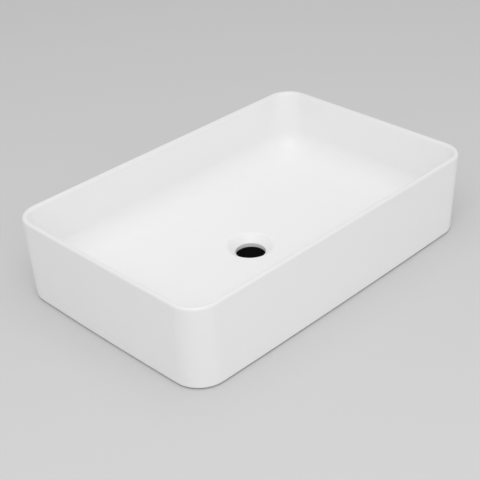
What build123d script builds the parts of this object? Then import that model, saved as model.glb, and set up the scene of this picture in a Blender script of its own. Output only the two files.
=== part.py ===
from build123d import *
from math import radians, tan
import os

os.makedirs("parts", exist_ok=True)

# A rectangular countertop basin in glazed ceramic, with an open outlet in the middle of its floor.
# The origin is on the worktop, under the centre of the outlet. X runs along the basin's length.

# Overall size of the basin, from the worktop to the top of the rim
basin_length = 580.0
basin_width = 375.0
basin_height = 130.0

# Outer walls: the base is a little smaller than the rim, and each side bellies out by its crown
rim_corner_radius = 39.0
rim_crown = 0.5
base_inset_ends = 2.3
base_inset_sides = 0.3
base_corner_radius = 42.0
base_crown = 2.4
base_edge_radius = 3.0

# Inner walls, which thicken towards the base, and the wide cove that carries them into the floor
rim_thickness = 8.0
wall_thickness_at_base = 11.0
hollow_corner_radius = 56.0
cove_radius = 40.0
rim_edge_radius = 3.5

# Floor and outlet: the floor falls to a dished seat for a waste, and its height is taken at the
# seat's lip, from the bottom of the ceramic foot
floor_height = 19.0
floor_fall_angle = 1.0
floor_thickness = 10.0
seat_radius = 36.0
seat_depth = 11.0
seat_lip_radius = 8.0
outlet_radius = 23.0
outlet_edge_radius = 1.0

# Underside: the ring that the basin stands on, the recess inside it and the boss at the outlet
foot_width = 22.0
foot_inner_edge_radius = 1.5
recess_corner_radius = 24.0
recess_edge_radius = 4.0
boss_radius = 44.0
boss_gap = 1.0
boss_edge_radius = 1.0

# Rubber pads under the foot, and the rubber ring that seals the outlet to the worktop
pad_diameter = 12.0
pad_thickness = 1.5
pad_end_distance = 72.0
pad_edge_radius = 0.4
gasket_clearance = 2.0
gasket_edge_radius = 0.5

base_length = basin_length - 2 * base_inset_ends
base_width = basin_width - 2 * base_inset_sides
foot_bottom = pad_thickness
seat_lip_height = foot_bottom + floor_height
seat_bottom = seat_lip_height - seat_depth
recess_ceiling = seat_lip_height - floor_thickness
boss_bottom = foot_bottom + boss_gap


def bowed_rectangle(height, length, width, corner_radius, crown):
    """A flat outline with round corners, whose four sides belly out by the crown."""
    corner_x = length / 2 - crown
    corner_y = width / 2 - crown
    with BuildSketch(Plane.XY.offset(height)) as outline:
        with BuildLine():
            ThreePointArc((-corner_x, -corner_y), (0, -width / 2), (corner_x, -corner_y))
            ThreePointArc((corner_x, -corner_y), (length / 2, 0), (corner_x, corner_y))
            ThreePointArc((corner_x, corner_y), (0, width / 2), (-corner_x, corner_y))
            ThreePointArc((-corner_x, corner_y), (-length / 2, 0), (-corner_x, -corner_y))
        make_face()
        fillet(outline.vertices(), corner_radius)
    return outline.sketch


def base_outline(inset, corner_radius):
    """The outline of the foot, drawn in by an inset."""
    length = base_length - 2 * inset
    width = base_width - 2 * inset
    return bowed_rectangle(foot_bottom, length, width, corner_radius, base_crown)


def rim_outline(inset):
    """The outline of the rim, drawn in by an inset."""
    length = basin_length - 2 * inset
    width = basin_width - 2 * inset
    return bowed_rectangle(basin_height, length, width, rim_corner_radius - inset, rim_crown)


def level_face(builder, height):
    """The flat, level face that is nearest to this height."""
    level_faces = builder.faces().filter_by(Axis.Z)
    return level_faces.sort_by(lambda face: abs(face.center().Z - height))[0]


def round_edges(builder, radius, height):
    """The round edges that have this radius and lie at this height."""
    tolerance = 0.01
    rings = builder.edges().filter_by(GeomType.CIRCLE)
    rings = rings.filter_by(lambda ring: abs(ring.radius - radius) < tolerance)
    return rings.filter_by(lambda ring: abs(ring.center().Z - height) < tolerance)


# The space inside the bowl: tapered walls, and a floor that falls to the seat
floor_reach = basin_length
floor_rise = (floor_reach - seat_radius) * tan(radians(floor_fall_angle))
with BuildPart() as hollow:
    inner_base = base_outline(wall_thickness_at_base, hollow_corner_radius)
    loft([inner_base, rim_outline(rim_thickness)], ruled=True)
    with BuildSketch(Plane.XZ):
        with BuildLine():
            Polyline(
                (0, 0),
                (floor_reach, 0),
                (floor_reach, seat_lip_height + floor_rise),
                (seat_radius, seat_lip_height),
                (0, seat_lip_height),
                close=True,
            )
        make_face()
    revolve(axis=Axis.Z, mode=Mode.SUBTRACT)
    floor_face = hollow.faces().filter_by(GeomType.CONE)
    fillet(floor_face.edges().filter_by(GeomType.BSPLINE), cove_radius)

# The ceramic bowl
with BuildPart() as basin_bowl:
    loft([base_outline(0, base_corner_radius), rim_outline(0)], ruled=True)
    add(hollow.part, mode=Mode.SUBTRACT)
    fillet(level_face(basin_bowl, basin_height).edges(), rim_edge_radius)

    # Recess inside the foot ring, with the outlet boss standing in it
    recess_outline = base_outline(foot_width, recess_corner_radius)
    extrude(recess_outline, amount=recess_ceiling - foot_bottom, mode=Mode.SUBTRACT)
    with BuildSketch(Plane.XY.offset(boss_bottom)):
        Circle(boss_radius)
    extrude(amount=recess_ceiling - boss_bottom)
    fillet(level_face(basin_bowl, recess_ceiling).edges(), recess_edge_radius)
    fillet(round_edges(basin_bowl, boss_radius, boss_bottom), boss_edge_radius)
    foot_inner_wire = level_face(basin_bowl, foot_bottom).inner_wires()[0]
    fillet(foot_inner_wire.edges(), foot_inner_edge_radius)
    foot_outer_wire = level_face(basin_bowl, foot_bottom).outer_wire()
    fillet(foot_outer_wire.edges(), base_edge_radius)

    # Dished seat and the outlet below it
    with BuildSketch(Plane.XZ):
        with BuildLine():
            Polyline(
                (0, 0),
                (outlet_radius, 0),
                (outlet_radius, seat_bottom),
                (seat_radius, seat_lip_height),
                (0, seat_lip_height),
                close=True,
            )
        make_face()
    revolve(axis=Axis.Z, mode=Mode.SUBTRACT)
    fillet(round_edges(basin_bowl, seat_radius, seat_lip_height), seat_lip_radius)
    fillet(round_edges(basin_bowl, outlet_radius, seat_bottom), outlet_edge_radius)
    fillet(round_edges(basin_bowl, outlet_radius, boss_bottom), outlet_edge_radius)
basin_bowl.part.label = "basin_bowl"
export_step(basin_bowl.part, "parts/basin_bowl.step")

# The rubber ring that fills the gap between the outlet boss and the worktop
with BuildPart() as outlet_gasket:
    with BuildSketch():
        Circle(boss_radius - gasket_clearance)
        Circle(outlet_radius + gasket_clearance, mode=Mode.SUBTRACT)
    extrude(amount=boss_bottom)
    fillet(outlet_gasket.edges().filter_by(GeomType.CIRCLE), gasket_edge_radius)
outlet_gasket.part.label = "outlet_gasket"
export_step(outlet_gasket.part, "parts/outlet_gasket.step")

# Six pads under the foot ring, in two rows of three
pad_x = base_length / 2 - pad_end_distance
pad_y = (base_width - foot_width - base_crown) / 2
for row_name, row in {"front": -1, "rear": 1}.items():
    for column_name, column in {"left": -1, "middle": 0, "right": 1}.items():
        with BuildPart() as foot_pad:
            with BuildSketch():
                with Locations((column * pad_x, row * pad_y)):
                    Circle(pad_diameter / 2)
            extrude(amount=pad_thickness)
            fillet(foot_pad.edges().group_by(Axis.Z)[0], pad_edge_radius)
        pad_name = f"foot_pad_{row_name}_{column_name}"
        foot_pad.part.label = pad_name
        export_step(foot_pad.part, f"parts/{pad_name}.step")
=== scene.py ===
"""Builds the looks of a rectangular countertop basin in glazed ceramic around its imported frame."""

import math

import bmesh
import bpy
from bpy.props import FloatProperty, FloatVectorProperty, PointerProperty
from mathutils import Matrix, Vector


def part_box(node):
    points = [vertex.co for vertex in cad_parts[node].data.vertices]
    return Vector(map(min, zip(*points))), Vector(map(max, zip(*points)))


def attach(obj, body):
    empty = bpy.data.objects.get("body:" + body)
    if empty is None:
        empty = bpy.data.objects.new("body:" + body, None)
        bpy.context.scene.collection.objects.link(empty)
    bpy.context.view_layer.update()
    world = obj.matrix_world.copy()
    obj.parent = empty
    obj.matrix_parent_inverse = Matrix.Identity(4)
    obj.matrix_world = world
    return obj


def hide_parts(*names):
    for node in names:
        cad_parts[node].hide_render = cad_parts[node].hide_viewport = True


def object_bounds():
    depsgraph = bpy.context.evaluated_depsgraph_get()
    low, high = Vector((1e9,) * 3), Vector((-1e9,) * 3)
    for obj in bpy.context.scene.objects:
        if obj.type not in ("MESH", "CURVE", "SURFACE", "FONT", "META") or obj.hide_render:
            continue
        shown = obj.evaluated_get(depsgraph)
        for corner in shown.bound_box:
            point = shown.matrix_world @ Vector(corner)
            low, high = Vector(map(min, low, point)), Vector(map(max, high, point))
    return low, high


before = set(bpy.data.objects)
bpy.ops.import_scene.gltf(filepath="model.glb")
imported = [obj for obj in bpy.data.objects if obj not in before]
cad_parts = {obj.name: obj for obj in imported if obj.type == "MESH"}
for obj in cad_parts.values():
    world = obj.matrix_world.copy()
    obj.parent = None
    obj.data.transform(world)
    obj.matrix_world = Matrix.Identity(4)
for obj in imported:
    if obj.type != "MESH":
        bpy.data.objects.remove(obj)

bl_info = {
    "name": "Countertop basin",
    "version": (1, 0, 0),
    "blender": (4, 5, 0),
    "location": "View3D > Sidebar > Basin",
    "description": "Models a glazed ceramic basin, its rubber ring and its pads, in a plain studio",
    "category": "Object",
}

CAD_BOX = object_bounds()
BOWL_LOW, BOWL_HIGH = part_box("basin_bowl")
GASKET_LOW, GASKET_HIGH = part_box("outlet_gasket")
PAD_NAMES = sorted(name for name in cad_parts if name.startswith("foot_pad"))
MM = 0.001
RIGHT_ANGLE = math.radians(90)

# How finely the bowl's loops are divided: along each long side, each short side and each corner
LONG_SIDE_CUTS = 47
SHORT_SIDE_CUTS = 25
CORNER_SEGMENTS = 16
LOOP_POINTS = 2 * (LONG_SIDE_CUTS + 1) + 2 * (SHORT_SIDE_CUTS + 1) + 4 * CORNER_SEGMENTS

# An outline's sides are longer than this, and the steps of its corners are shorter
SIDE_LENGTH_AT_LEAST = 100 * MM

# A point's share in its own loop is 1, and that of a point cut between two loops is less
WHOLE_SHARE = 0.999

# How high a loop is lifted while it is bridged
BRIDGE_LIFT = 300 * MM

# How finely the bowl's bands are cut and its roundings are stepped
FLOOR_CUTS = 12
CEILING_CUTS = 10
COVE_SEGMENTS = 16
SEAT_SEGMENTS = 8
RIM_SEGMENTS = 7
FOOT_SEGMENTS = 6
EDGE_SEGMENTS = 5

# How finely the ring, the pads and the worktop's hole are divided
RING_STEPS = 128
PAD_STEPS = 64
MERGE_DISTANCE = 0.01 * MM


class BowlSizes(bpy.types.PropertyGroup):
    """Sizes of the ceramic bowl."""

    length: FloatProperty(
        name="Length",
        description="Widest length of the bowl",
        default=BOWL_HIGH.x - BOWL_LOW.x,
        unit="LENGTH",
    )
    width: FloatProperty(
        name="Width",
        description="Widest width of the bowl",
        default=BOWL_HIGH.y - BOWL_LOW.y,
        unit="LENGTH",
    )
    rim_wall: FloatProperty(
        name="Rim wall",
        description="Thickness of the wall at the rim",
        default=8 * MM,
        unit="LENGTH",
    )
    base_wall: FloatProperty(
        name="Base wall",
        description="Thickness of the wall at the foot",
        default=11 * MM,
        unit="LENGTH",
    )
    rim_corner: FloatProperty(
        name="Rim corner",
        description="Radius of the outside corners at the rim",
        default=39 * MM,
        unit="LENGTH",
    )
    base_corner: FloatProperty(
        name="Base corner",
        description="Radius of the outside corners at the foot",
        default=42 * MM,
        unit="LENGTH",
    )
    hollow_corner: FloatProperty(
        name="Hollow corner",
        description="Radius of the inside corners deep in the bowl",
        default=56 * MM,
        unit="LENGTH",
    )
    cove: FloatProperty(
        name="Cove",
        description="Radius of the curve between the walls and the floor",
        default=40 * MM,
        unit="LENGTH",
    )
    seat_radius: FloatProperty(
        name="Seat",
        description="Radius of the dished seat round the outlet",
        default=36 * MM,
        unit="LENGTH",
    )
    outlet_radius: FloatProperty(
        name="Outlet",
        description="Radius of the outlet",
        default=23 * MM,
        unit="LENGTH",
    )
    floor_fall: FloatProperty(
        name="Floor fall",
        description="Slope of the floor towards the seat",
        default=math.radians(1.0),
        subtype="ANGLE",
    )


class FinishColours(bpy.types.PropertyGroup):
    """Colours of the basin's finishes and of the studio."""

    glaze: FloatVectorProperty(
        name="Glaze",
        description="Colour of the white glaze",
        default=(0.87, 0.87, 0.87),
        subtype="COLOR",
    )
    # Partly thinner glaze, partly painted shade: the rim top is darkened so that it lights no brighter
    # than the floor
    thin_glaze_and_rim_shade: FloatVectorProperty(
        name="Thin glaze and painted rim shade",
        description="Colour over the rim, where the glaze is thinner and the body shows through",
        default=(0.79, 0.79, 0.785),
        subtype="COLOR",
    )
    biscuit: FloatVectorProperty(
        name="Biscuit",
        description="Colour of the bare ceramic where the foot is ground flat",
        default=(0.70, 0.66, 0.60),
        subtype="COLOR",
    )
    rubber: FloatVectorProperty(
        name="Rubber",
        description="Colour of the ring under the outlet",
        default=(0.022, 0.022, 0.024),
        subtype="COLOR",
    )
    silicone: FloatVectorProperty(
        name="Silicone",
        description="Colour of the pads under the foot",
        default=(0.42, 0.43, 0.44),
        subtype="COLOR",
    )
    worktop: FloatVectorProperty(
        name="Worktop",
        description="Colour of the plain surface that the basin stands on",
        default=(0.62, 0.62, 0.62),
        subtype="COLOR",
    )


class StudioLight(bpy.types.PropertyGroup):
    """Strengths of the studio's soft lights."""

    ambient: FloatProperty(
        name="Ambient",
        description="Strength of the even light from all round",
        default=0.68,
    )
    overhead: FloatProperty(
        name="Overhead",
        description="Power of the large softbox overhead",
        default=7.5,
        unit="POWER",
    )
    front: FloatProperty(
        name="Front",
        description="Power of the softbox in front of the long side",
        default=5.7,
        unit="POWER",
    )
    left: FloatProperty(
        name="Left",
        description="Power of the softbox high up beyond the near left corner",
        default=17.0,
        unit="POWER",
    )


# Smaller sizes of the bowl
END_DRAFT = 2.3 * MM
SIDE_DRAFT = 0.3 * MM
RIM_CROWN = 0.5 * MM
BASE_CROWN = 2.4 * MM
RIM_EDGE = 3.5 * MM
BASE_EDGE = 3 * MM
SEAT_LIP_HEIGHT = 20.5 * MM
SEAT_DEPTH = 11 * MM
SEAT_EDGE = 8 * MM
OUTLET_EDGE = 1 * MM
BOSS_RADIUS = 44 * MM
BOSS_EDGE = 1 * MM
CEILING_HEIGHT = 10.5 * MM
FOOT_WIDTH = 22 * MM
FOOT_INNER_EDGE = 1.5 * MM
RECESS_CORNER = 24 * MM
RECESS_EDGE = 4 * MM
GASKET_EDGE = 0.5 * MM
PAD_EDGE = 0.4 * MM

# A Mix node's sockets for colours
MIX_SHARE = 0
MIX_FIRST = 6
MIX_SECOND = 7
MIX_RESULT = 2

# The glaze: how its thickness, shine and surface change, and where painted shade darkens the rim. A
# noise is its scale and its detail
RIM_SHADE_AND_THIN_GLAZE_BELOW_TOP = 1 * MM
BARE_HEIGHT = 0.3 * MM
BARE_EDGE = 0.3 * MM
GLAZE_ROUGHNESS = (0.29, 0.37)
BARE_ROUGHNESS = 0.45
WAVE_DEPTH = 0.25 * MM
PEEL_DEPTH = 0.004 * MM
BARE_EDGE_NOISE = (260, 3)
POLISH_NOISE = (14, 4)
WAVE_NOISE = (11, 1)
PEEL_NOISE = (420, 2)

# Rubber: its roughness, the scale of its grain, and how many grains its clouds and patches take
RING_ROUGHNESS = 0.55
RING_GRAIN = 900
PAD_ROUGHNESS = 0.35
PAD_GRAIN = 1500
GRAIN_DEPTH = 0.03 * MM
GRAINS_PER_CLOUD = 8
GRAINS_PER_PATCH = 3
CLOUD_BRIGHTNESS = 1.25
ROUGHNESS_SPREAD = 0.06
CLOUD_DETAIL = 3
GRAIN_DETAIL = 2

# The worktop, and the hole that it has under the basin's outlet, whose walls are painted near-black as
# painted shade
HOLE_RADIUS = 27 * MM
HOLE_DEPTH = 80 * MM
# Near-black: painted shade that stands for the dark under the worktop
HOLE_PAINTED_SHADE_COLOUR = (0.008, 0.008, 0.008)
HOLE_ROUGHNESS = 0.9
WORKTOP_RADIUS = 20.0
WORKTOP_ROUGHNESS = 0.7
STUDIO_SHINE = 0.2

# Where the softboxes hang and how wide they are
OVERHEAD_PLACE = Vector((0, 0, 2.4))
OVERHEAD_WIDTH = 2.4
FRONT_PLACE = Vector((0, -2.4, 1.0))
LEFT_PLACE = Vector((-1.2, -1.0, 1.9))
SIDE_WIDTH = 1.8

# The photograph's viewpoint: angles, distance from the basin's middle, and how far beside it the
# camera aims
CAMERA_AZIMUTH = math.radians(-44.98)
CAMERA_ELEVATION = math.radians(30.44)
CAMERA_ROLL = math.radians(-2.51)
CAMERA_DISTANCE = 1641 * MM
CAMERA_AIM_RIGHT = -15.3 * MM
CAMERA_AIM_UP = -29.9 * MM
CAMERA_LENS = 82.25


def mix(low, high, share):
    """The value that lies a share of the way from low to high."""
    return low + (high - low) * share


def wall_share(height):
    """How far up the walls a height lies, from 0 at the foot to 1 at the rim."""
    return (height - BOWL_LOW.z) / (BOWL_HIGH.z - BOWL_LOW.z)


def floor_height(sizes, reach):
    """Height of the floor at a distance from the outlet's centre."""
    return SEAT_LIP_HEIGHT + (reach - sizes.seat_radius) * math.tan(sizes.floor_fall)


def tangent_length(radius, turn):
    """How far from an edge its rounding starts, where the surface turns by an angle."""
    return radius * math.tan(turn / 2)


def deselect_all():
    """Leaves no object selected."""
    bpy.ops.object.select_all(action="DESELECT")


def start_mesh(name):
    """Adds an empty mesh object and opens it for modelling."""
    deselect_all()
    bpy.ops.object.add(type="MESH")
    piece = bpy.context.object
    piece.name = piece.data.name = name
    bpy.ops.object.mode_set(mode="EDIT")
    bpy.ops.mesh.select_mode(type="VERT")
    return piece


def keep_loop(name):
    """Names the loop that is in view, and puts it out of view."""
    bpy.ops.mesh.select_all(action="SELECT")
    bpy.ops.object.vertex_group_assign_new()
    bpy.context.object.vertex_groups.active.name = name
    bpy.ops.mesh.hide()


def select_loops(*names):
    """Selects the loops with these names, without the points of cuts, which belong to them in part."""
    bpy.ops.mesh.select_all(action="DESELECT")
    piece = bpy.context.object
    skin = bmesh.from_edit_mesh(piece.data)
    shares = skin.verts.layers.deform.verify()
    for name in names:
        group = piece.vertex_groups[name].index
        for vertex in skin.verts:
            if vertex[shares].get(group, 0) > WHOLE_SHARE:
                vertex.select_set(True)
    skin.select_flush(True)


def divide_sides(axis, cuts):
    """Divides the two straight sides that run along one axis of the loop in view."""
    bpy.ops.mesh.select_all(action="DESELECT")
    loop = bmesh.from_edit_mesh(bpy.context.object.data)
    for edge in loop.edges:
        start, end = edge.verts
        run = abs(start.co[axis] - end.co[axis])
        if run > SIDE_LENGTH_AT_LEAST and not edge.hide:
            edge.select_set(True)
    bpy.ops.mesh.subdivide(number_cuts=cuts)


def add_outline(name, height, length, width, corner):
    """Adds a round-cornered rectangle as a loop of edges."""
    bpy.ops.mesh.primitive_plane_add(size=1, location=(0, 0, height))
    bpy.ops.transform.resize(value=(length, width, 1))
    bpy.ops.mesh.bevel(
        affect="VERTICES", offset=corner, segments=CORNER_SEGMENTS, clamp_overlap=False
    )
    bpy.ops.mesh.select_all(action="SELECT")
    bpy.ops.mesh.delete(type="ONLY_FACE")
    divide_sides(0, LONG_SIDE_CUTS)
    divide_sides(1, SHORT_SIDE_CUTS)
    keep_loop(name)


def outer_outline(sizes, name, height, inset, corner):
    """Adds an outline of the outer wall, drawn in by an inset."""
    lean = 1 - wall_share(height)
    length = sizes.length - 2 * (END_DRAFT * lean + inset)
    width = sizes.width - 2 * (SIDE_DRAFT * lean + inset)
    add_outline(name, height, length, width, corner)


def inner_outline(sizes, name, height, inset):
    """Adds an outline of the inner wall, drawn in by an inset."""
    share = wall_share(height)
    wall = mix(sizes.base_wall, sizes.rim_wall, share)
    corner = mix(sizes.hollow_corner, sizes.rim_corner - sizes.rim_wall, share)
    outer_outline(sizes, name, height, wall + inset, corner - inset)


def add_circle(name, height, radius):
    """Adds a circle about the outlet, with as many points as an outline has."""
    bpy.ops.mesh.primitive_circle_add(vertices=LOOP_POINTS, radius=radius, location=(0, 0, height))
    keep_loop(name)


def lay_on_floor(sizes, *names):
    """Lifts loops onto the floor, which rises all round from the seat's lip."""
    select_loops(*names)
    skin = bmesh.from_edit_mesh(bpy.context.object.data)
    for vertex in skin.verts:
        if vertex.select:
            vertex.co.z = floor_height(sizes, vertex.co.xy.length)


def move_loop(name, rise):
    """Moves one loop up or down."""
    select_loops(name)
    bpy.ops.transform.translate(value=(0, 0, rise))


def bridge(first, second, cuts=0):
    """Joins two loops with a band of faces.

    Level loops would get a twisted band, so one of them is lifted meanwhile.
    """
    move_loop(first, BRIDGE_LIFT)
    select_loops(first, second)
    bpy.ops.mesh.bridge_edge_loops()
    move_loop(first, -BRIDGE_LIFT)
    if cuts:
        select_loops(first, second)
        skin = bmesh.from_edit_mesh(bpy.context.object.data)
        rungs = [edge for edge in skin.edges if sum(face.select for face in edge.link_faces) == 2]
        bpy.ops.mesh.select_mode(type="EDGE")
        bpy.ops.mesh.select_all(action="DESELECT")
        for rung in rungs:
            rung.select_set(True)
        bpy.ops.mesh.subdivide(number_cuts=cuts)
        bpy.ops.mesh.select_mode(type="VERT")


def round_loop(name, offset, segments):
    """Rounds the edges of a loop."""
    select_loops(name)
    bpy.ops.mesh.bevel(offset=offset, segments=segments, clamp_overlap=False)


def belly_sides(sizes, piece):
    """Draws the corners in, so that each side bellies out between them, most of all at the foot."""
    half_length, half_width = sizes.length / 2, sizes.width / 2
    for vertex in piece.data.vertices:
        x, y, z = vertex.co
        crown = mix(BASE_CROWN, RIM_CROWN, wall_share(z))
        vertex.co.x = x * (1 - crown / half_length * (y / half_width) ** 2)
        vertex.co.y = y * (1 - crown / half_width * (x / half_length) ** 2)


def finish_piece(piece):
    """Closes a piece, turns its faces outwards and shades it smooth."""
    bpy.ops.mesh.reveal(select=False)
    bpy.ops.mesh.select_all(action="SELECT")
    bpy.ops.mesh.normals_make_consistent(inside=False)
    bpy.ops.object.mode_set(mode="OBJECT")
    bpy.ops.object.shade_smooth()


def weigh_normals(piece):
    """Keeps the shading of broad faces true beside narrow roundings."""
    bpy.ops.object.modifier_add(type="WEIGHTED_NORMAL")
    bpy.ops.object.modifier_apply(modifier=piece.modifiers[-1].name)


def dress(piece, material, slot, *nodes):
    """Gives a piece its finish, and puts it in the place of the nodes that it stands for."""
    piece.data.materials.append(material)
    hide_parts(*nodes)
    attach(piece, "root")


def add_node(tree, kind, **values):
    """Adds a node and sets the values of its sockets by their names."""
    node = tree.nodes.new(kind)
    for name, value in values.items():
        node.inputs[name.replace("_", " ")].default_value = value
    return node


def noise(tree, scale, detail):
    """A noise pattern that stays with the piece."""
    place = tree.nodes.new("ShaderNodeTexCoord")
    pattern = add_node(tree, "ShaderNodeTexNoise", Scale=scale, Detail=detail)
    tree.links.new(place.outputs["Object"], pattern.inputs["Vector"])
    return pattern.outputs["Fac"]


def spread(tree, value, low, high, from_low=0.0, from_high=1.0):
    """Maps a value onto another range."""
    node = tree.nodes.new("ShaderNodeMapRange")
    node.inputs["From Min"].default_value = from_low
    node.inputs["From Max"].default_value = from_high
    node.inputs["To Min"].default_value = low
    node.inputs["To Max"].default_value = high
    tree.links.new(value, node.inputs["Value"])
    return node.outputs["Result"]


def sum_of(tree, first, second):
    """Adds two values."""
    node = tree.nodes.new("ShaderNodeMath")
    node.operation = "ADD"
    tree.links.new(first, node.inputs[0])
    tree.links.new(second, node.inputs[1])
    return node.outputs["Value"]


def blend_colours(tree, share, first, second):
    """Runs from one colour to another as a value runs from 0 to 1."""
    node = tree.nodes.new("ShaderNodeValToRGB")
    start, end = node.color_ramp.elements
    start.color = (*first, 1)
    end.color = (*second, 1)
    tree.links.new(share, node.inputs["Fac"])
    return node.outputs["Color"]


def tint(tree, share, colour, second):
    """Runs from a colour in the tree to a plain one as a value runs from 0 to 1."""
    node = tree.nodes.new("ShaderNodeMix")
    node.data_type = "RGBA"
    tree.links.new(share, node.inputs[MIX_SHARE])
    tree.links.new(colour, node.inputs[MIX_FIRST])
    node.inputs[MIX_SECOND].default_value = (*second, 1)
    return node.outputs[MIX_RESULT]


def add_bump(tree, pattern, depth, below=None):
    """Raises a pattern from the surface by a depth, on top of another bump."""
    node = add_node(tree, "ShaderNodeBump", Distance=depth)
    tree.links.new(pattern, node.inputs["Height"])
    if below:
        tree.links.new(below, node.inputs["Normal"])
    return node.outputs["Normal"]


def new_material(name):
    """A node material, its tree and its surface shader."""
    material = bpy.data.materials.new(name)
    material.use_nodes = True
    tree = material.node_tree
    return material, tree, tree.nodes["Principled BSDF"]


def glaze_material(colours):
    """White glaze with a soft shine, darkened over the rim by painted shade where the glaze is also
    thinner, and bare where the foot is ground flat.
    """
    material, tree, surface = new_material("soft_white_glaze")
    place = tree.nodes.new("ShaderNodeTexCoord")
    split = tree.nodes.new("ShaderNodeSeparateXYZ")
    tree.links.new(place.outputs["Object"], split.inputs["Vector"])
    height = split.outputs["Z"]
    ragged = spread(tree, noise(tree, *BARE_EDGE_NOISE), -BARE_EDGE, BARE_EDGE)
    bare_top = BOWL_LOW.z + BARE_HEIGHT
    glazed = spread(tree, sum_of(tree, height, ragged), 0, 1, bare_top, bare_top + BARE_EDGE)
    body = blend_colours(tree, glazed, colours.biscuit, colours.glaze)
    # Painted shade over the rim, partly standing for thinner glaze: the colour darkens over the top
    # few millimetres
    rim_shade_from = BOWL_HIGH.z - RIM_EDGE
    painted_rim_shade_share = spread(tree, height, 0, 1, rim_shade_from, BOWL_HIGH.z - RIM_SHADE_AND_THIN_GLAZE_BELOW_TOP)
    tree.links.new(tint(tree, painted_rim_shade_share, body, colours.thin_glaze_and_rim_shade), surface.inputs["Base Color"])
    polish = spread(tree, noise(tree, *POLISH_NOISE), *GLAZE_ROUGHNESS)
    dullness = spread(tree, glazed, BARE_ROUGHNESS, 0)
    tree.links.new(sum_of(tree, polish, dullness), surface.inputs["Roughness"])
    waves = add_bump(tree, noise(tree, *WAVE_NOISE), WAVE_DEPTH)
    peel = add_bump(tree, noise(tree, *PEEL_NOISE), PEEL_DEPTH, waves)
    tree.links.new(peel, surface.inputs["Normal"])
    return material


def rubber_material(name, colour, roughness, grain):
    """Moulded rubber with a fine matt grain."""
    material, tree, surface = new_material(name)
    lighter = [channel * CLOUD_BRIGHTNESS for channel in colour]
    clouds = noise(tree, grain / GRAINS_PER_CLOUD, CLOUD_DETAIL)
    tree.links.new(blend_colours(tree, clouds, colour, lighter), surface.inputs["Base Color"])
    patches = noise(tree, grain / GRAINS_PER_PATCH, GRAIN_DETAIL)
    dull = spread(tree, patches, roughness - ROUGHNESS_SPREAD, roughness + ROUGHNESS_SPREAD)
    tree.links.new(dull, surface.inputs["Roughness"])
    grains = add_bump(tree, noise(tree, grain, GRAIN_DETAIL), GRAIN_DEPTH)
    tree.links.new(grains, surface.inputs["Normal"])
    return material


def plain_material(name, colour, roughness):
    """A plain surface of the studio."""
    material, _, surface = new_material(name)
    surface.inputs["Base Color"].default_value = (*colour, 1)
    surface.inputs["Roughness"].default_value = roughness
    surface.inputs["Specular IOR Level"].default_value = STUDIO_SHINE
    return material


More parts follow.
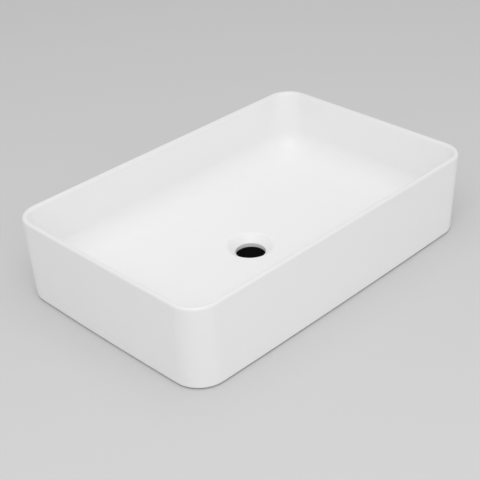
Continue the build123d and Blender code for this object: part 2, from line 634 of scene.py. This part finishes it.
class BASIN_OT_bowl(bpy.types.Operator):
    """Model the ceramic bowl as one closed skin"""

    bl_idname = "basin.bowl"
    bl_label = "Bowl"

    def execute(self, context):
        sizes = context.scene.basin_sizes
        foot, rim, boss_bottom = BOWL_LOW.z, BOWL_HIGH.z, GASKET_HIGH.z
        seat_bottom = SEAT_LIP_HEIGHT - SEAT_DEPTH
        wall_lean = math.atan2(
            sizes.base_wall - sizes.rim_wall + (END_DRAFT + SIDE_DRAFT) / 2, rim - foot
        )
        seat_slope = math.atan2(SEAT_DEPTH, sizes.seat_radius - sizes.outlet_radius)
        bowl = start_mesh("ceramic_bowl")

        outer_outline(sizes, "foot_outer", foot, 0, sizes.base_corner)
        outer_outline(sizes, "rim_outer", rim, 0, sizes.rim_corner)
        inner_outline(sizes, "rim_inner", rim, 0)
        inner_outline(sizes, "wall_foot", SEAT_LIP_HEIGHT, 0)
        inner_outline(sizes, "floor_edge", SEAT_LIP_HEIGHT, sizes.cove)
        add_circle("seat_lip", SEAT_LIP_HEIGHT, sizes.seat_radius)
        add_circle("seat_foot", seat_bottom, sizes.outlet_radius)
        add_circle("outlet_bottom", boss_bottom, sizes.outlet_radius)
        add_circle("boss_bottom", boss_bottom, BOSS_RADIUS)
        add_circle("boss_top", CEILING_HEIGHT, BOSS_RADIUS)
        outer_outline(sizes, "ceiling_edge", CEILING_HEIGHT, FOOT_WIDTH, RECESS_CORNER)
        outer_outline(sizes, "foot_inner", foot, FOOT_WIDTH, RECESS_CORNER)
        bpy.ops.mesh.reveal(select=False)
        lay_on_floor(sizes, "wall_foot", "floor_edge")

        bridge("foot_outer", "rim_outer")
        bridge("rim_outer", "rim_inner")
        bridge("rim_inner", "wall_foot")
        bridge("wall_foot", "floor_edge")
        bridge("floor_edge", "seat_lip", cuts=FLOOR_CUTS)
        bridge("seat_lip", "seat_foot")
        bridge("seat_foot", "outlet_bottom")
        bridge("outlet_bottom", "boss_bottom")
        bridge("boss_bottom", "boss_top")
        bridge("boss_top", "ceiling_edge", cuts=CEILING_CUTS)
        bridge("ceiling_edge", "foot_inner")
        bridge("foot_inner", "foot_outer")

        round_loop("foot_outer", BASE_EDGE, FOOT_SEGMENTS)
        round_loop("rim_outer", RIM_EDGE, RIM_SEGMENTS)
        round_loop("rim_inner", RIM_EDGE, RIM_SEGMENTS)
        cove_turn = RIGHT_ANGLE - wall_lean - sizes.floor_fall
        round_loop("wall_foot", tangent_length(sizes.cove, cove_turn), COVE_SEGMENTS)
        lip_turn = seat_slope - sizes.floor_fall
        round_loop("seat_lip", tangent_length(SEAT_EDGE, lip_turn), SEAT_SEGMENTS)
        seat_turn = RIGHT_ANGLE - seat_slope
        round_loop("seat_foot", tangent_length(OUTLET_EDGE, seat_turn), EDGE_SEGMENTS)
        round_loop("outlet_bottom", OUTLET_EDGE, EDGE_SEGMENTS)
        round_loop("boss_bottom", BOSS_EDGE, EDGE_SEGMENTS)
        round_loop("boss_top", RECESS_EDGE, EDGE_SEGMENTS)
        round_loop("ceiling_edge", RECESS_EDGE, EDGE_SEGMENTS)
        round_loop("foot_inner", FOOT_INNER_EDGE, EDGE_SEGMENTS)

        finish_piece(bowl)
        bpy.ops.object.vertex_group_remove(all=True)
        belly_sides(sizes, bowl)
        weigh_normals(bowl)
        dress(bowl, glaze_material(context.scene.basin_colours), "white_glaze", "basin_bowl")
        return {"FINISHED"}


class BASIN_OT_gasket(bpy.types.Operator):
    """Model the rubber ring that fills the gap between the outlet and the worktop"""

    bl_idname = "basin.gasket"
    bl_label = "Outlet gasket"

    def execute(self, context):
        outer = GASKET_HIGH.x
        inner = context.scene.basin_sizes.outlet_radius + BOSS_RADIUS - outer
        middle = (GASKET_LOW.z + GASKET_HIGH.z) / 2
        gasket = start_mesh("outlet_ring")
        bpy.ops.mesh.primitive_plane_add(
            size=1, location=((inner + outer) / 2, 0, middle), rotation=(RIGHT_ANGLE, 0, 0)
        )
        bpy.ops.transform.resize(value=(outer - inner, 1, GASKET_HIGH.z - GASKET_LOW.z))
        bpy.ops.mesh.bevel(
            affect="VERTICES", offset=GASKET_EDGE, segments=EDGE_SEGMENTS, clamp_overlap=False
        )
        bpy.ops.mesh.select_all(action="SELECT")
        bpy.ops.mesh.delete(type="ONLY_FACE")
        bpy.ops.mesh.select_all(action="SELECT")
        bpy.ops.mesh.spin(steps=RING_STEPS, angle=math.tau, center=(0, 0, 0), axis=(0, 0, 1))
        bpy.ops.mesh.select_all(action="SELECT")
        bpy.ops.mesh.remove_doubles(threshold=MERGE_DISTANCE)
        finish_piece(gasket)
        weigh_normals(gasket)
        colour = context.scene.basin_colours.rubber
        rubber = rubber_material("matt_black_rubber", colour, RING_ROUGHNESS, RING_GRAIN)
        dress(gasket, rubber, "black_rubber", "outlet_gasket")
        return {"FINISHED"}


class BASIN_OT_pads(bpy.types.Operator):
    """Model one silicone pad and copy it to each place under the foot"""

    bl_idname = "basin.pads"
    bl_label = "Foot pads"

    def execute(self, context):
        colour = context.scene.basin_colours.silicone
        silicone = rubber_material("soft_grey_silicone", colour, PAD_ROUGHNESS, PAD_GRAIN)
        low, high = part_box(PAD_NAMES[0])
        place = (low + high) / 2
        pad = start_mesh(PAD_NAMES[0] + "_disc")
        bpy.ops.mesh.primitive_cylinder_add(
            vertices=PAD_STEPS, radius=(high.x - low.x) / 2, depth=high.z - low.z, location=place
        )
        bpy.ops.mesh.select_all(action="DESELECT")
        disc = bmesh.from_edit_mesh(pad.data)
        for edge in disc.edges:
            edge.select_set(all(vertex.co.z < place.z for vertex in edge.verts))
        bpy.ops.mesh.bevel(offset=PAD_EDGE, segments=EDGE_SEGMENTS, clamp_overlap=False)
        finish_piece(pad)
        weigh_normals(pad)
        for name in PAD_NAMES[1:]:
            deselect_all()
            pad.select_set(True)
            context.view_layer.objects.active = pad
            bpy.ops.object.duplicate(linked=False)
            copy = bpy.context.object
            copy.name = copy.data.name = name + "_disc"
            low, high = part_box(name)
            bpy.ops.transform.translate(value=(low + high) / 2 - place)
            bpy.ops.object.transform_apply(location=True)
            dress(copy, silicone, "clear_grey_silicone", name)
        dress(pad, silicone, "clear_grey_silicone", PAD_NAMES[0])
        return {"FINISHED"}


def add_softbox(name, place, width, power):
    """Adds a square soft light that shines from a place at the basin's middle."""
    turn = (Vector((0, 0, BOWL_HIGH.z / 2)) - place).to_track_quat("-Z", "Y").to_euler()
    bpy.ops.object.light_add(type="AREA", location=place, rotation=turn)
    softbox = bpy.context.object
    softbox.name = name
    softbox.data.size = width
    softbox.data.energy = power
    softbox.visible_camera = False


def add_camera():
    """Adds the camera at the photograph's angle, with its slight roll."""
    centre = Vector((0, 0, (CAD_BOX[0][2] + CAD_BOX[1][2]) / 2))
    back = Vector(
        (
            math.sin(CAMERA_AZIMUTH) * math.cos(CAMERA_ELEVATION),
            -math.cos(CAMERA_AZIMUTH) * math.cos(CAMERA_ELEVATION),
            math.sin(CAMERA_ELEVATION),
        )
    )
    right = Vector((math.cos(CAMERA_AZIMUTH), math.sin(CAMERA_AZIMUTH), 0))
    place = centre + back * CAMERA_DISTANCE
    aim = centre + right * CAMERA_AIM_RIGHT + back.cross(right) * CAMERA_AIM_UP
    turn = (aim - place).to_track_quat("-Z", "Y").to_matrix() @ Matrix.Rotation(CAMERA_ROLL, 3, "Z")
    bpy.ops.object.camera_add(location=place, rotation=turn.to_euler())
    camera = bpy.context.object
    camera.data.lens = CAMERA_LENS
    bpy.context.scene.camera = camera


def add_worktop(colours):
    """Adds the plain surface that the basin stands on, with a hole under the outlet whose walls are
    painted near-black as painted shade.
    """
    worktop = start_mesh("worktop")
    bpy.ops.mesh.primitive_circle_add(
        vertices=RING_STEPS, radius=HOLE_RADIUS, fill_type="NOTHING"
    )
    bpy.ops.mesh.extrude_edges_move()
    grow = WORKTOP_RADIUS / HOLE_RADIUS
    bpy.ops.transform.resize(value=(grow, grow, 1))
    finish_piece(worktop)
    worktop.data.materials.append(plain_material("pale_worktop", colours.worktop, WORKTOP_ROUGHNESS))

    hole = start_mesh("worktop_hole")
    bpy.ops.mesh.primitive_circle_add(
        vertices=RING_STEPS, radius=HOLE_RADIUS, fill_type="NGON", location=(0, 0, -HOLE_DEPTH)
    )
    bpy.ops.mesh.extrude_edges_move(TRANSFORM_OT_translate={"value": (0, 0, HOLE_DEPTH)})
    finish_piece(hole)
    # The hole's walls are painted near-black as painted shade, for the dark under the worktop
    hole.data.materials.append(plain_material("painted_shade_hole", HOLE_PAINTED_SHADE_COLOUR, HOLE_ROUGHNESS))


class BASIN_OT_studio(bpy.types.Operator):
    """Set up the worktop, the soft lights and the camera"""

    bl_idname = "basin.studio"
    bl_label = "Studio"

    def execute(self, context):
        light = context.scene.basin_light
        world = bpy.data.worlds.new("studio_air")
        world.use_nodes = True
        background = world.node_tree.nodes["Background"]
        background.inputs["Color"].default_value = (1, 1, 1, 1)
        background.inputs["Strength"].default_value = light.ambient
        context.scene.world = world
        add_softbox("overhead_softbox", OVERHEAD_PLACE, OVERHEAD_WIDTH, light.overhead)
        add_softbox("front_softbox", FRONT_PLACE, SIDE_WIDTH, light.front)
        add_softbox("left_softbox", LEFT_PLACE, SIDE_WIDTH, light.left)
        add_worktop(context.scene.basin_colours)
        add_camera()
        context.scene.view_settings.view_transform = "Standard"
        return {"FINISHED"}


class BASIN_PT_sidebar(bpy.types.Panel):
    """The basin's sizes, colours and pieces"""

    bl_idname = "BASIN_PT_sidebar"
    bl_label = "Countertop basin"
    bl_space_type = "VIEW_3D"
    bl_region_type = "UI"
    bl_category = "Basin"

    def draw(self, context):
        scene = context.scene
        for group in (scene.basin_sizes, scene.basin_colours, scene.basin_light):
            box = self.layout.box()
            for name in group.bl_rna.properties.keys():
                if name in group.__annotations__:
                    box.prop(group, name)
        for operator in OPERATORS:
            self.layout.operator(operator.bl_idname)


OPERATORS = (BASIN_OT_bowl, BASIN_OT_gasket, BASIN_OT_pads, BASIN_OT_studio)
CLASSES = (BowlSizes, FinishColours, StudioLight, *OPERATORS, BASIN_PT_sidebar)


def register():
    """Makes the property groups, the operators and the panel known to Blender."""
    for cls in CLASSES:
        bpy.utils.register_class(cls)
    bpy.types.Scene.basin_sizes = PointerProperty(type=BowlSizes)
    bpy.types.Scene.basin_colours = PointerProperty(type=FinishColours)
    bpy.types.Scene.basin_light = PointerProperty(type=StudioLight)


def unregister():
    """Takes them out again."""
    del bpy.types.Scene.basin_light
    del bpy.types.Scene.basin_colours
    del bpy.types.Scene.basin_sizes
    for cls in reversed(CLASSES):
        bpy.utils.unregister_class(cls)


def main():
    """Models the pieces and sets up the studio."""
    register()
    bpy.ops.basin.bowl()
    bpy.ops.basin.gasket()
    bpy.ops.basin.pads()
    bpy.ops.basin.studio()


if __name__ == "__main__":
    main()
